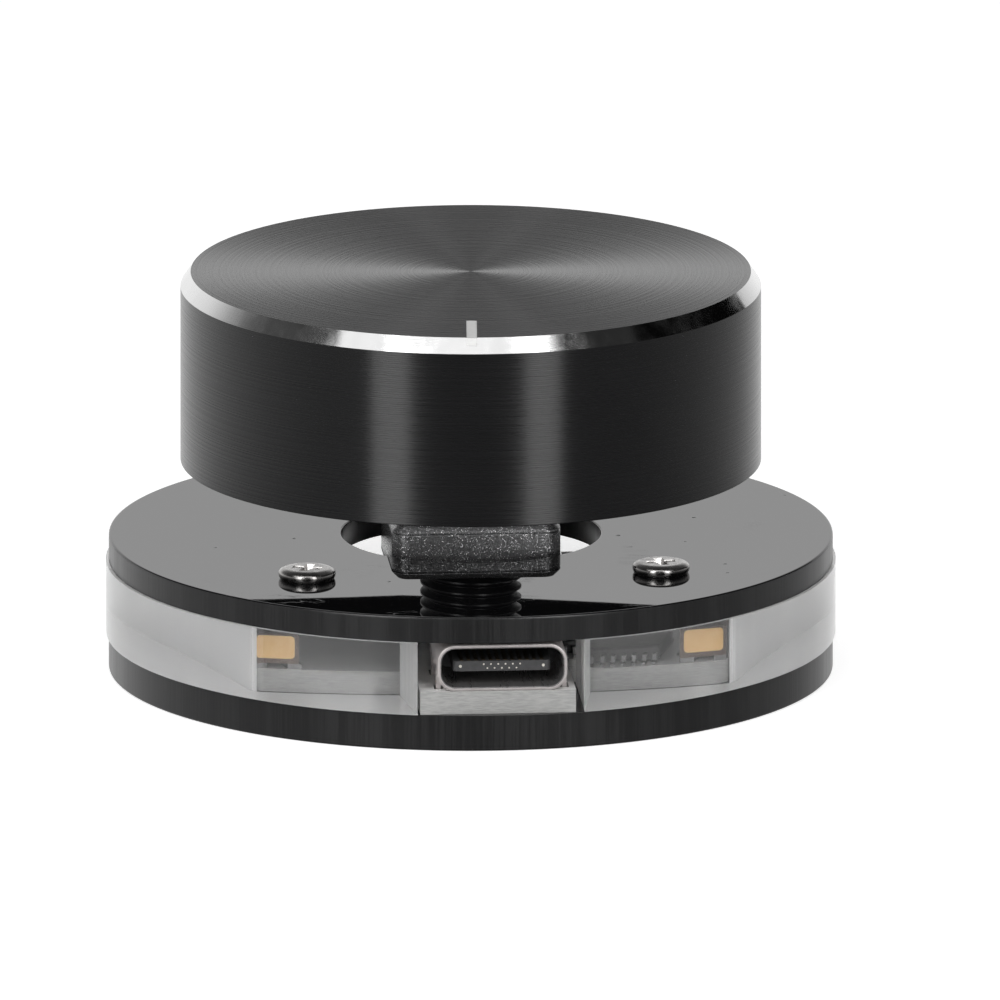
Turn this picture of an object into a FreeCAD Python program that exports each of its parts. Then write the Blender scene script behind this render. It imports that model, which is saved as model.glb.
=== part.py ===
"""USB volume knob: an aluminium knob on a push-switch rotary encoder, standing in a
three-layer laser-cut acrylic base with a USB-C socket.

Millimetres, +Z up. The origin is the centre of the base's underside, and the socket
faces -Y. Everything is drawn at rest: the knob up, the encoder in a detent."""

import FreeCAD, Part
import math
import os

V = FreeCAD.Vector
UP = V(0, 0, 1)
CENTRE = V(0, 0, 0)

# ---- the acrylic base ------------------------------------------------------------
plate_diameter = 49.6
ring_overhang = 0.2
ring_side_wall = 9.3
bottom_thickness = 2.5
ring_thickness = 5.1
top_thickness = 1.8
cavity_corner = 0.9
cavity_offset = 0.3
encoder_opening_diameter = 17.8

# ---- case screws, M2 with a low head ----------------------------------------------
screw_shank_diameter = 1.9
screw_length = 8.0
screw_head_diameter = 3.95
screw_head_height = 0.75
screw_recess_width = 0.5
screw_recess_span = 2.1
screw_recess_depth = 0.45
screw_hole_clearance = 0.15
screw_tapped_clearance = 0.01
screw_side_inset = 3.25

# ---- circuit board ----------------------------------------------------------------
board_thickness = 1.6
board_corner = 1.0
board_edge_clearance = 0.3
board_offset = 0.1
tongue_width = 10.7
tongue_end_clearance = 0.15
slot_clearance = 0.4

# ---- USB-C socket -----------------------------------------------------------------
socket_width = 8.94
socket_height = 3.26
socket_length = 7.3
socket_wall = 0.3
socket_corner = 1.25
socket_offset = 0.4
socket_front_setback = 0.05
socket_leg_width = 1.1
socket_leg_spacing = 4.2
socket_leg_clearance = 0.15
blade_width = 6.7
blade_thickness = 0.7
blade_setback = 0.6
blade_root_length = 1.3
contact_count = 12
contact_pitch = 0.5
contact_width = 0.25
contact_thickness = 0.04
contact_length = 3.9
tail_length = 0.8
tail_thickness = 0.15

# ---- parts on the board -----------------------------------------------------------
led_width = 3.5
led_depth = 1.8
led_height = 2.4
led_side_inset = 0.2
led_end_inset = 0.15
led_screw_gap = 0.1
led_terminal_thickness = 0.35
led_terminal_width = 1.0
chip_length = 5.0
chip_width = 4.4
chip_height = 1.0
chip_standoff = 0.1
chip_leads_per_side = 8
chip_lead_pitch = 0.65
chip_lead_width = 0.25
chip_lead_thickness = 0.13
chip_lead_reach = 1.0
chip_screw_gap = 1.0
chip_edge_inset = 0.4
capacitor_length = 2.0
capacitor_width = 1.25
capacitor_height = 1.2
resistor_length = 1.6
resistor_width = 0.8
resistor_height = 0.45
chip_part_pitch = 2.4

# ---- encoder body -----------------------------------------------------------------
encoder_width = 11.6
encoder_depth = 12.0
encoder_corner = 1.2
encoder_top_chamfer = 0.5
encoder_base_height = 3.1
encoder_base_inset = 0.45
bracket_thickness = 0.3
bracket_leg_width = 2.0
bracket_leg_clearance = 0.1
housing_height = 3.8
housing_roof = 1.0
rotor_chamber_diameter = 10.2
bushing_height = 5.0
bushing_core_diameter = 6.0
bushing_chamfer = 0.35
pin_pitch = 2.5
pin_width = 0.8
pin_thickness = 0.3
pin_row_distance = 7.2
pin_hole_clearance = 0.1

# ---- push switch under the shaft --------------------------------------------------
press_travel = 0.5
switch_floor = 0.5
dome_height = 0.6
dome_diameter = 5.6
dome_crown_diameter = 3.0
dome_thickness = 0.08
slider_flange_diameter = 5.0
slider_flange_height = 0.5
slider_neck_diameter = 3.2
slider_neck_height = 1.0
slider_clearance = 0.06
switch_chamber_clearance = 0.25

# ---- rotor, code disc and detent --------------------------------------------------
detent_count = 20
detent_depth = 0.25
detent_rim_width = 0.95
rotor_clearance = 0.3
rotor_hub_height = 1.2
rotor_rim_rise = 0.25
code_disc_thickness = 0.2
code_disc_gap = 0.55
code_window_length = 1.5
code_disc_bore = 5.0
wiper_clearance = 0.03
wiper_width = 0.6
wiper_thickness = 0.1
wiper_pitch = 1.3
wiper_foot_length = 0.45
wiper_reach = 1.3
detent_leaf_thickness = 0.12
detent_leaf_width = 0.6
detent_leaf_span = 3.6
detent_leaf_lift = 0.06
detent_bump_radius = 0.25
detent_bump_clearance = 0.04

# ---- shaft ------------------------------------------------------------------------
shaft_diameter = 6.0
shaft_flat_depth = 1.5
shaft_above_housing = 15.0
shaft_flat_length = 8.5
journal_diameter = 4.5
journal_clearance = 0.04
key_width = 3.4
key_clearance = 0.05
key_corner_diameter = 4.3
tip_diameter = 3.0
tip_gap = 0.02
shoulder_clearance = 0.2
retaining_ring_thickness = 0.4
retaining_ring_diameter = 7.0
retaining_groove_diameter = 3.7
retaining_gap = 0.08
retaining_mouth = 2.4

# ---- knob -------------------------------------------------------------------------
knob_diameter = 39.8
knob_height = 13.2
knob_gap_below = 5.2
knob_chamfer_width = 0.7
knob_chamfer_height = 1.0
knob_recess_diameter = 15.0
knob_recess_depth = 3.2
knob_bore_clearance = 0.03
knob_bore_end_gap = 0.3
knob_rest_turn = -4.0
set_screw_diameter = 3.0
set_screw_length = 8.0
set_screw_height = 6.4
set_screw_clearance = 0.02
set_screw_tip_gap = 0.02
hex_key_size = 1.5
hex_key_depth = 2.0
pointer_width = 0.72
pointer_inner_radius = 14.1
pointer_depth = 0.5
pointer_sink = 0.04

# ---- levels worked out from the sizes above ---------------------------------------
plate_radius = plate_diameter / 2
ring_radius = plate_radius + ring_overhang
cavity_width = 2 * (ring_radius - ring_side_wall)
ring_bottom = bottom_thickness
ring_top = ring_bottom + ring_thickness
base_top = ring_top + top_thickness
board_bottom = ring_bottom
board_top = board_bottom + board_thickness
board_width = cavity_width - 2 * board_edge_clearance
led_y = board_width / 2 - led_end_inset - led_depth / 2
screw_x = board_width / 2 - screw_side_inset
screw_y = led_y - led_depth / 2 - led_screw_gap - screw_shank_diameter / 2
chip_centre_x = screw_x - screw_shank_diameter / 2 - chip_screw_gap - chip_length / 2
chip_centre_y = chip_edge_inset + chip_lead_reach + chip_width / 2 - board_width / 2
slot_width = tongue_width + 2 * slot_clearance
tongue_front = math.sqrt(ring_radius**2 - (slot_width / 2) ** 2) - tongue_end_clearance
socket_front = tongue_front + socket_front_setback
socket_back = socket_front - socket_length
socket_middle = board_top + socket_height / 2
encoder_base_top = board_top + encoder_base_height
bracket_top = encoder_base_top + bracket_thickness
housing_top = bracket_top + housing_height
chamber_ceiling = housing_top - housing_roof
bushing_top = housing_top + bushing_height
shaft_top = housing_top + shaft_above_housing
dome_top = board_top + switch_floor + dome_height
slider_top = dome_top + slider_flange_height + slider_neck_height
code_disc_bottom = encoder_base_top + code_disc_gap
rotor_bottom = code_disc_bottom + code_disc_thickness
rotor_hub_top = rotor_bottom + rotor_hub_height
rotor_rim_top = rotor_hub_top + rotor_rim_rise
rotor_radius = rotor_chamber_diameter / 2 - rotor_clearance
detent_floor = rotor_rim_top - detent_depth
detent_bump_level = detent_floor + (detent_bump_radius + detent_bump_clearance) * math.sqrt(2)
retaining_top = chamber_ceiling - retaining_gap
retaining_bottom = retaining_top - retaining_ring_thickness
shoulder_level = bushing_top + press_travel + shoulder_clearance
knob_bottom = base_top + knob_gap_below
knob_top = knob_bottom + knob_height
knob_radius = knob_diameter / 2
screw_bottom = base_top - screw_length


def cylinder(radius, bottom, top, x=0.0, y=0.0):
    return Part.makeCylinder(radius, top - bottom, V(x, y, bottom), UP)


def block(x, y, bottom, width, depth, height):
    return Part.makeBox(width, depth, height, V(x - width / 2, y - depth / 2, bottom))


def vertical_edges(shape):
    found = []
    for edge in shape.Edges:
        ends = [vertex.Point for vertex in edge.Vertexes]
        if len(ends) == 2 and abs(ends[0].x - ends[1].x) < 1e-6 and abs(ends[0].y - ends[1].y) < 1e-6:
            found.append(edge)
    return found


def rounded_block(x, y, bottom, width, depth, height, corner):
    plain = block(x, y, bottom, width, depth, height)
    return plain.makeFillet(corner, vertical_edges(plain))


def turned(profile):
    """A solid of revolution about Z from (radius, level) points."""
    points = [V(radius, 0, level) for radius, level in profile]
    face = Part.Face(Part.makePolygon(points + points[:1]))
    return face.revolve(CENTRE, UP, 360)


def prism_along_x(outline, x, width):
    """An outline of (y, z) points made width thick, centred on x."""
    points = [V(x - width / 2, y, z) for y, z in outline]
    face = Part.Face(Part.makePolygon(points + points[:1]))
    return face.extrude(V(width, 0, 0))


def screw_places():
    return [(x, y) for y in (-screw_y, screw_y) for x in (-screw_x, screw_x)]


def cut_all(shape, tools):
    for tool in tools:
        shape = shape.cut(tool)
    return shape


def group(solids):
    return Part.makeCompound(solids)


# ---- base -------------------------------------------------------------------------
def make_bottom_plate():
    plate = cylinder(plate_radius, 0, bottom_thickness)
    radius = screw_shank_diameter / 2 + screw_tapped_clearance
    return cut_all(plate, [cylinder(radius, -1, bottom_thickness + 1, x, y) for x, y in screw_places()])


def make_middle_ring():
    ring = cylinder(ring_radius, ring_bottom, ring_top)
    cavity = rounded_block(cavity_offset, 0, ring_bottom, cavity_width, cavity_width, ring_thickness, cavity_corner)
    slot_length = 2 * ring_radius - cavity_width
    slot = block(cavity_offset, -ring_radius, ring_bottom, slot_width, slot_length, ring_thickness)
    return ring.cut(cavity).cut(slot)


def make_top_plate():
    plate = cylinder(plate_radius, ring_top, base_top)
    opening = cylinder(encoder_opening_diameter / 2, ring_top, base_top)
    radius = screw_shank_diameter / 2 + screw_hole_clearance
    holes = [cylinder(radius, ring_top, base_top, x, y) for x, y in screw_places()]
    return cut_all(plate, [opening] + holes)


def make_case_screw(x, y):
    head_radius = screw_head_diameter / 2
    shank_radius = screw_shank_diameter / 2
    head_top = base_top + screw_head_height
    screw = turned([
        (0, screw_bottom),
        (shank_radius, screw_bottom),
        (shank_radius, base_top),
        (head_radius, base_top),
        (head_radius, head_top),
        (0, head_top),
    ])
    recess_floor = head_top - screw_recess_depth
    bar = block(0, 0, recess_floor, screw_recess_span, screw_recess_width, screw_recess_depth)
    cross_bar = block(0, 0, recess_floor, screw_recess_width, screw_recess_span, screw_recess_depth)
    screw = screw.cut(bar).cut(cross_bar)
    screw.translate(V(x, y, 0))
    return screw


def make_case_screws():
    return group([make_case_screw(x, y) for x, y in screw_places()])


# ---- board ------------------------------------------------------------------------
def socket_leg_places():
    half_width = (socket_width - socket_wall) / 2
    middle = -(socket_front + socket_back) / 2
    places = []
    for side in (-half_width, half_width):
        for along in (-socket_leg_spacing / 2, socket_leg_spacing / 2):
            places.append((socket_offset + side, middle + along))
    return places


def pin_places():
    front = [(step * pin_pitch, -pin_row_distance) for step in (-1, 0, 1)]
    back = [(step * pin_pitch, pin_row_distance) for step in (-1, 1)]
    return front + back


def bracket_leg_x():
    return encoder_width / 2 - encoder_base_inset + bracket_thickness / 2


def make_circuit_board():
    board = rounded_block(board_offset, 0, board_bottom, board_width, board_width, board_thickness, board_corner)
    reach = tongue_front - board_width / 2 + board_corner
    tongue = block(board_offset, -tongue_front + reach / 2, board_bottom, tongue_width, reach, board_thickness)
    board = board.fuse(tongue).removeSplitter()
    radius = screw_shank_diameter / 2 + screw_hole_clearance
    tools = [cylinder(radius, board_bottom, board_top, x, y) for x, y in screw_places()]
    for x, y in socket_leg_places():
        width = socket_wall + 2 * socket_leg_clearance
        depth = socket_leg_width + 2 * socket_leg_clearance
        tools.append(block(x, y, board_bottom, width, depth, board_thickness))
    for x, y in pin_places():
        width = pin_width + 2 * pin_hole_clearance
        depth = pin_thickness + 2 * pin_hole_clearance
        tools.append(block(x, y, board_bottom, width, depth, board_thickness))
    for side in (-1, 1):
        width = bracket_thickness + 2 * bracket_leg_clearance
        depth = bracket_leg_width + 2 * bracket_leg_clearance
        tools.append(block(side * bracket_leg_x(), 0, board_bottom, width, depth, board_thickness))
    return cut_all(board, tools)


# ---- USB-C socket -----------------------------------------------------------------
def socket_section(inset, front, length):
    """The shell's rounded section, drawn in by inset, running back from the front."""
    width = socket_width - 2 * inset
    height = socket_height - 2 * inset
    low = socket_middle - height / 2
    bar = block(socket_offset, -front + length / 2, low, width, length, height)
    along = [edge for edge in bar.Edges if abs(edge.Vertexes[0].Point.y - edge.Vertexes[-1].Point.y) > length / 2]
    return bar.makeFillet(socket_corner - inset, along)


def make_usb_shell():
    outer = socket_section(0, socket_front, socket_length)
    shell = outer.cut(socket_section(socket_wall, socket_front, socket_length))
    leg_height = socket_middle - board_bottom
    for x, y in socket_leg_places():
        shell = shell.fuse(block(x, y, board_bottom, socket_wall, socket_leg_width, leg_height))
    return shell.removeSplitter()


def make_usb_tongue():
    root = socket_section(socket_wall, socket_back + blade_root_length, blade_root_length)
    blade_length = socket_length - blade_setback - blade_root_length
    blade_y = -(socket_front - blade_setback) + blade_length / 2
    blade_bottom = socket_middle - blade_thickness / 2
    blade = block(socket_offset, blade_y, blade_bottom, blade_width, blade_length, blade_thickness)
    nose = [edge for edge in vertical_edges(blade) if edge.CenterOfMass.y < blade_y]
    blade = blade.makeFillet(blade_thickness / 2, nose)
    return root.fuse(blade).removeSplitter()


def make_usb_contacts():
    solids = []
    first = socket_offset - contact_pitch * (contact_count - 1) / 2
    front = -(socket_front - blade_setback) + contact_width
    y = front + contact_length / 2
    for number in range(contact_count):
        x = first + number * contact_pitch
        top = socket_middle + blade_thickness / 2
        under = socket_middle - blade_thickness / 2 - contact_thickness
        for level in (top, under):
            solids.append(block(x, y, level, contact_width, contact_length, contact_thickness))
        tail_y = -socket_back + tail_length / 2
        solids.append(block(x, tail_y, board_top, contact_width, tail_length, tail_thickness))
    return group(solids)


# ---- parts on the board -----------------------------------------------------------
def led_places():
    x = board_width / 2 - led_side_inset - led_width / 2
    return [(board_offset + side_x * x, side_y * led_y) for side_y in (-1, 1) for side_x in (-1, 1)]


def make_led_phosphors():
    solids = []
    for x, y in led_places():
        bottom = board_top + led_terminal_thickness
        solids.append(block(x, y, bottom, led_width, led_depth, led_height - led_terminal_thickness))
    return group(solids)


def make_led_terminals():
    solids = []
    inset = (led_width - led_terminal_width) / 2
    for x, y in led_places():
        for side in (-inset, inset):
            solids.append(block(x + side, y, board_top, led_terminal_width, led_depth, led_terminal_thickness))
    return group(solids)


def make_microcontroller():
    bottom = board_top + chip_standoff
    body = block(chip_centre_x, chip_centre_y, bottom, chip_length, chip_width, chip_height)
    top_edges = [edge for edge in body.Edges if abs(edge.CenterOfMass.z - bottom - chip_height) < 1e-6]
    return body.makeChamfer(chip_height / 6, top_edges)


def chip_lead_outline(side):
    """A gull-wing lead in the (y, z) plane, from the body's side down to the board."""
    wall = chip_centre_y + side * chip_width / 2
    shoulder = board_top + chip_standoff + chip_height / 2
    knee = wall + side * chip_lead_reach * 0.35
    toe = wall + side * chip_lead_reach
    step = side * chip_lead_thickness
    return [
        (wall, shoulder),
        (knee + step, shoulder),
        (knee + step, board_top + chip_lead_thickness),
        (toe, board_top + chip_lead_thickness),
        (toe, board_top),
        (knee, board_top),
        (knee, shoulder - chip_lead_thickness),
        (wall, shoulder - chip_lead_thickness),
    ]


def make_microcontroller_leads():
    solids = []
    first = chip_centre_x - chip_lead_pitch * (chip_leads_per_side - 1) / 2
    for side in (-1, 1):
        for number in range(chip_leads_per_side):
            x = first + number * chip_lead_pitch
            solids.append(prism_along_x(chip_lead_outline(side), x, chip_lead_width))
    return group(solids)


def make_capacitors():
    solids = []
    for number in range(3):
        x = (number - 1) * chip_part_pitch
        solids.append(block(x, -chip_centre_y, board_top, capacitor_width, capacitor_length, capacitor_height))
    return group(solids)


def make_resistors():
    solids = []
    for side in (-1, 1):
        for number in range(3):
            y = -chip_centre_y + (number - 1) * resistor_length
            x = side * chip_centre_x
            solids.append(block(x, y, board_top, resistor_length, resistor_width, resistor_height))
    return group(solids)


# ---- encoder body -----------------------------------------------------------------
def make_encoder_base():
    width = encoder_width - 2 * encoder_base_inset
    base = rounded_block(0, 0, board_top, width, encoder_depth, encoder_base_height, encoder_corner / 2)
    chamber_radius = slider_flange_diameter / 2 + switch_chamber_clearance
    dome_room = dome_diameter / 2 + switch_chamber_clearance
    chamber_floor = board_top + switch_floor
    chamber_top = dome_top + slider_flange_height + switch_chamber_clearance
    chamber = cylinder(max(chamber_radius, dome_room), chamber_floor, chamber_top)
    guide = cylinder(slider_neck_diameter / 2 + slider_clearance, chamber_top, encoder_base_top)
    return base.cut(chamber).cut(guide)


def make_encoder_bracket():
    plate = block(0, 0, encoder_base_top, encoder_width, encoder_depth, bracket_thickness)
    plate = plate.makeFillet(encoder_corner, vertical_edges(plate))
    bracket = plate.cut(cylinder(rotor_chamber_diameter / 2, encoder_base_top, bracket_top))
    wing_depth = encoder_depth - 2 * encoder_corner - 2 * bracket_leg_width
    for side in (-1, 1):
        x = side * bracket_leg_x()
        wing = block(x, 0, board_top, bracket_thickness, wing_depth, encoder_base_height)
        leg = block(x, 0, board_bottom, bracket_thickness, bracket_leg_width, board_thickness)
        bracket = bracket.fuse(wing).fuse(leg)
    return bracket.removeSplitter()


def make_encoder_housing():
    body = rounded_block(0, 0, bracket_top, encoder_width, encoder_depth, housing_height, encoder_corner)
    rim = [edge for edge in body.Edges if abs(edge.BoundBox.ZMin - housing_top) < 1e-6]
    body = body.makeChamfer(encoder_top_chamfer, rim)
    core = bushing_core_diameter / 2
    bushing = turned([
        (0, chamber_ceiling),
        (core, chamber_ceiling),
        (core, bushing_top - bushing_chamfer),
        (core - bushing_chamfer, bushing_top),
        (0, bushing_top),
    ])
    chamber = cylinder(rotor_chamber_diameter / 2, bracket_top, chamber_ceiling)
    bore = cylinder(journal_diameter / 2 + journal_clearance, chamber_ceiling, bushing_top)
    return body.fuse(bushing).cut(chamber).cut(bore).removeSplitter()


def make_encoder_terminals():
    """Five flat pins, each leaving the base's side near its foot and turning down."""
    solids = []
    wall = encoder_depth / 2
    for x, y in pin_places():
        side = math.copysign(1, y)
        outer = y + side * pin_thickness / 2
        inner = y - side * pin_thickness / 2
        level = board_top + 2 * pin_thickness
        outline = [
            (side * wall, level + pin_thickness),
            (outer, level + pin_thickness),
            (outer, board_bottom),
            (inner, board_bottom),
            (inner, level),
            (side * wall, level),
        ]
        solids.append(prism_along_x(outline, x, pin_width))
    return group(solids)


# ---- encoder works ----------------------------------------------------------------
def make_wiper_contacts():
    """Three sprung fingers that rise from the base's deck to the code disc."""
    contact_level = code_disc_bottom - wiper_clearance
    deck = encoder_base_top
    track = (code_disc_bore / 2 + rotor_radius) / 2
    solids = []
    tip = -track + wiper_reach / 2
    heel = -track - wiper_reach / 2
    for step in (-1, 0, 1):
        outline = [
            (heel - wiper_foot_length, deck),
            (heel, deck),
            (tip, contact_level - wiper_thickness),
            (tip + wiper_thickness, contact_level),
            (tip - wiper_thickness, contact_level),
            (heel, deck + wiper_thickness),
            (heel - wiper_foot_length, deck + wiper_thickness),
        ]
        solids.append(prism_along_x(outline, step * wiper_pitch, wiper_width))
    return group(solids)


def make_code_disc():
    disc = cylinder(rotor_radius, code_disc_bottom, rotor_bottom)
    disc = disc.cut(cylinder(code_disc_bore / 2, code_disc_bottom, rotor_bottom))
    track = (code_disc_bore / 2 + rotor_radius) / 2
    window_width = math.pi * track / detent_count
    window = block(track, 0, code_disc_bottom, code_window_length, window_width, code_disc_thickness)
    for number in range(detent_count):
        placed = window.copy()
        placed.rotate(CENTRE, UP, (number + 0.5) * 360 / detent_count)
        disc = disc.cut(placed)
    return disc


def keyed_bore(clearance, bottom, top):
    """The shaft's two-flat neck, grown by a clearance."""
    neck = cylinder(key_corner_diameter / 2 + clearance, bottom, top)
    width = key_width + 2 * clearance
    return neck.common(block(0, 0, bottom, width, 2 * key_corner_diameter, top - bottom))


def make_encoder_rotor():
    rim_inner = rotor_radius - detent_rim_width
    rotor = cylinder(rotor_radius, rotor_bottom, rotor_rim_top)
    rotor = rotor.cut(cylinder(rim_inner, rotor_hub_top, rotor_rim_top))
    rotor = rotor.cut(keyed_bore(key_clearance, rotor_bottom, rotor_hub_top))
    above = 2 * detent_depth
    flanks = [(-above, detent_floor + above), (0, detent_floor), (above, detent_floor + above)]
    groove = prism_along_x(flanks, rotor_radius - detent_rim_width / 2, 2 * detent_rim_width)
    for number in range(detent_count):
        placed = groove.copy()
        placed.rotate(CENTRE, UP, number * 360 / detent_count)
        rotor = rotor.cut(placed)
    return rotor


def make_detent_spring():
    """A flat ring under the housing's roof with two bowed leaves that rest in the grooves."""
    outer = rotor_radius
    inner = rotor_radius - detent_rim_width
    ring_low = chamber_ceiling - detent_leaf_thickness
    ring = cylinder(outer, ring_low, chamber_ceiling).cut(cylinder(inner, ring_low, chamber_ceiling))
    lowest = rotor_rim_top + detent_leaf_lift
    upper_side = lowest + detent_leaf_thickness
    half = detent_leaf_span / 2
    for side in (-1, 1):
        start = side * (rotor_radius - detent_rim_width / 2) - detent_leaf_width / 2
        lower = Part.Arc(V(start, -half, ring_low), V(start, 0, lowest), V(start, half, ring_low)).toShape()
        upper = Part.Arc(
            V(start, half, chamber_ceiling),
            V(start, 0, upper_side),
            V(start, -half, chamber_ceiling),
        ).toShape()
        right = Part.LineSegment(V(start, half, ring_low), V(start, half, chamber_ceiling)).toShape()
        left = Part.LineSegment(V(start, -half, chamber_ceiling), V(start, -half, ring_low)).toShape()
        leaf = Part.Face(Part.Wire([lower, right, upper, left])).extrude(V(detent_leaf_width, 0, 0))
        bump_start = V(start, 0, detent_bump_level)
        bump = Part.makeCylinder(detent_bump_radius, detent_leaf_width, bump_start, V(1, 0, 0))
        below = block(start + detent_leaf_width / 2, 0, rotor_hub_top, 1, 1, upper_side - rotor_hub_top)
        ring = ring.fuse(leaf).fuse(bump.common(below))
    return ring.removeSplitter()


def make_encoder_shaft():
    radius = shaft_diameter / 2
    journal = journal_diameter / 2
    groove = retaining_groove_diameter / 2
    key_top = retaining_bottom - retaining_gap
    shaft = turned([
        (0, slider_top + tip_gap),
        (tip_diameter / 2, slider_top + tip_gap),
        (tip_diameter / 2, rotor_bottom),
        (key_width / 2, rotor_bottom),
        (key_width / 2, key_top),
        (groove, key_top),
        (groove, retaining_top),
        (journal, retaining_top),
        (journal, shoulder_level),
        (radius, shoulder_level),
        (radius, shaft_top),
        (0, shaft_top),
    ])
    shaft = shaft.fuse(keyed_bore(0, rotor_bottom, key_top))
    flat_bottom = shaft_top - shaft_flat_length
    flat = block(0, radius, flat_bottom, shaft_diameter, 2 * shaft_flat_depth, shaft_flat_length)
    return shaft.cut(flat).removeSplitter()


def make_retaining_ring():
    ring = cylinder(retaining_ring_diameter / 2, retaining_bottom, retaining_top)
    ring = ring.cut(cylinder(retaining_groove_diameter / 2, retaining_bottom, retaining_top))
    reach = retaining_ring_diameter
    mouth = block(0, -reach / 2, retaining_bottom, retaining_mouth, reach, retaining_ring_thickness)
    return ring.cut(mouth)


def make_switch_slider():
    flange = cylinder(slider_flange_diameter / 2, dome_top, dome_top + slider_flange_height)
    neck = cylinder(slider_neck_diameter / 2, dome_top, slider_top)
    return flange.fuse(neck).removeSplitter()


def make_switch_dome():
    """A stamped snap dome: a flat crown on a conical skirt that stands on the switch's floor."""
    floor = dome_top - dome_height
    foot = dome_diameter / 2
    crown = dome_crown_diameter / 2
    inner_crown_level = dome_top - dome_thickness
    outer = [(foot, floor), (crown, dome_top), (0, dome_top)]
    inner = [(0, inner_crown_level), (crown, inner_crown_level), (foot - dome_thickness, floor)]
    return turned(outer + inner)


# ---- knob -------------------------------------------------------------------------
def knob_blank():
    return turned([
        (0, knob_bottom),
        (knob_radius, knob_bottom),
        (knob_radius, knob_top - knob_chamfer_height),
        (knob_radius - knob_chamfer_width, knob_top),
        (0, knob_top),
    ])


def pointer_slot(floor):
    length = knob_radius - pointer_inner_radius
    middle = -pointer_inner_radius - length / 2
    return block(0, middle, floor, pointer_width, length, knob_top - floor)


def set_screw_axis_cylinder(radius, start, end):
    level = knob_bottom + set_screw_height
    return Part.makeCylinder(radius, end - start, V(0, start, level), V(0, 1, 0))


def make_knob():
    knob = knob_blank()
    bore_radius = shaft_diameter / 2 + knob_bore_clearance
    recess_ceiling = knob_bottom + knob_recess_depth
    recess = cylinder(knob_recess_diameter / 2, knob_bottom, recess_ceiling)
    bore = cylinder(bore_radius, recess_ceiling, shaft_top + knob_bore_end_gap)
    tapped = set_screw_axis_cylinder(set_screw_diameter / 2 + set_screw_clearance, 0, knob_radius)
    return cut_all(knob, [recess, bore, tapped, pointer_slot(knob_top - pointer_depth)])


def make_knob_set_screw():
    start = shaft_diameter / 2 - shaft_flat_depth + set_screw_tip_gap
    end = start + set_screw_length
    screw = set_screw_axis_cylinder(set_screw_diameter / 2, start, end)
    level = knob_bottom + set_screw_height
    corner = hex_key_size / math.sqrt(3)
    turns = [math.radians(60 * number + 30) for number in range(6)]
    points = [V(corner * math.cos(turn), end - hex_key_depth, level + corner * math.sin(turn)) for turn in turns]
    socket = Part.Face(Part.makePolygon(points + points[:1])).extrude(V(0, hex_key_depth, 0))
    return screw.cut(socket)


def make_pointer_inlay():
    inlay = pointer_slot(knob_top - pointer_depth).common(knob_blank())
    lowered = knob_blank()
    lowered.translate(V(0, 0, -pointer_sink))
    return inlay.common(lowered)


def write(name, shape, turn=0.0):
    if turn:
        shape.rotate(CENTRE, UP, turn)
    if not shape.isValid():
        raise ValueError(f"{name} is not a valid shape")
    shape.exportStep(f"parts/{name}.step")


os.makedirs("parts", exist_ok=True)
write("bottom_plate", make_bottom_plate())
write("middle_ring", make_middle_ring())
write("top_plate", make_top_plate())
write("case_screws", make_case_screws())
write("circuit_board", make_circuit_board())
write("usb_shell", make_usb_shell())
write("usb_tongue", make_usb_tongue())
write("usb_contacts", make_usb_contacts())
write("led_phosphors", make_led_phosphors())
write("led_terminals", make_led_terminals())
write("microcontroller", make_microcontroller())
write("microcontroller_leads", make_microcontroller_leads())
write("capacitors", make_capacitors())
write("resistors", make_resistors())
write("encoder_base", make_encoder_base())
write("encoder_bracket", make_encoder_bracket())
write("encoder_housing", make_encoder_housing())
write("encoder_terminals", make_encoder_terminals())
write("wiper_contacts", make_wiper_contacts())
write("code_disc", make_code_disc(), knob_rest_turn)
write("encoder_rotor", make_encoder_rotor(), knob_rest_turn)
write("detent_spring", make_detent_spring(), knob_rest_turn)
write("switch_dome", make_switch_dome())
write("switch_slider", make_switch_slider())
write("retaining_ring", make_retaining_ring(), knob_rest_turn)
write("encoder_shaft", make_encoder_shaft(), knob_rest_turn)
write("knob", make_knob(), knob_rest_turn)
write("knob_set_screw", make_knob_set_screw(), knob_rest_turn)
write("pointer_inlay", make_pointer_inlay(), knob_rest_turn)
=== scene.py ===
import math

import bmesh
import bpy
from mathutils import Matrix, Vector


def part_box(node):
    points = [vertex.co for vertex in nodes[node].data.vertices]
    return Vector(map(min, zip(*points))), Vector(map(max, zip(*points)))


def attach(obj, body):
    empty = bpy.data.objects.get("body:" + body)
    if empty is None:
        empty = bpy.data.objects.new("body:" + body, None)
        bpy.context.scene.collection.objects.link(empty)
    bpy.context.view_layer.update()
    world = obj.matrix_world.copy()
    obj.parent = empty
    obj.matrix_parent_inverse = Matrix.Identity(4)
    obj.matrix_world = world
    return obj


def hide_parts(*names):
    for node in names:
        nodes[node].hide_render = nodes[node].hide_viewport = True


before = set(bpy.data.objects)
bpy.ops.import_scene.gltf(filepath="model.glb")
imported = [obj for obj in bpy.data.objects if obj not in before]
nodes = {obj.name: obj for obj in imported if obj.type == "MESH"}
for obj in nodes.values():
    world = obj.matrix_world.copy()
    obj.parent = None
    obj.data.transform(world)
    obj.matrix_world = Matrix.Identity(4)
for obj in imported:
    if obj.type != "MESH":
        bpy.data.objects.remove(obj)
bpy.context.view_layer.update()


# ---- Camera ----------------------------------------------------------------------
# The camera stands in front of the USB socket, a little to its left and above the
# knob's rim. Its view is parallel, without perspective.
MM = 0.001
camera_azimuth = math.radians(-4.2)
camera_elevation = math.radians(13.7)
camera_distance = 500 * MM
view_width = 68.5 * MM
camera_right = Vector((math.cos(camera_azimuth), math.sin(camera_azimuth), 0))
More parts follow.
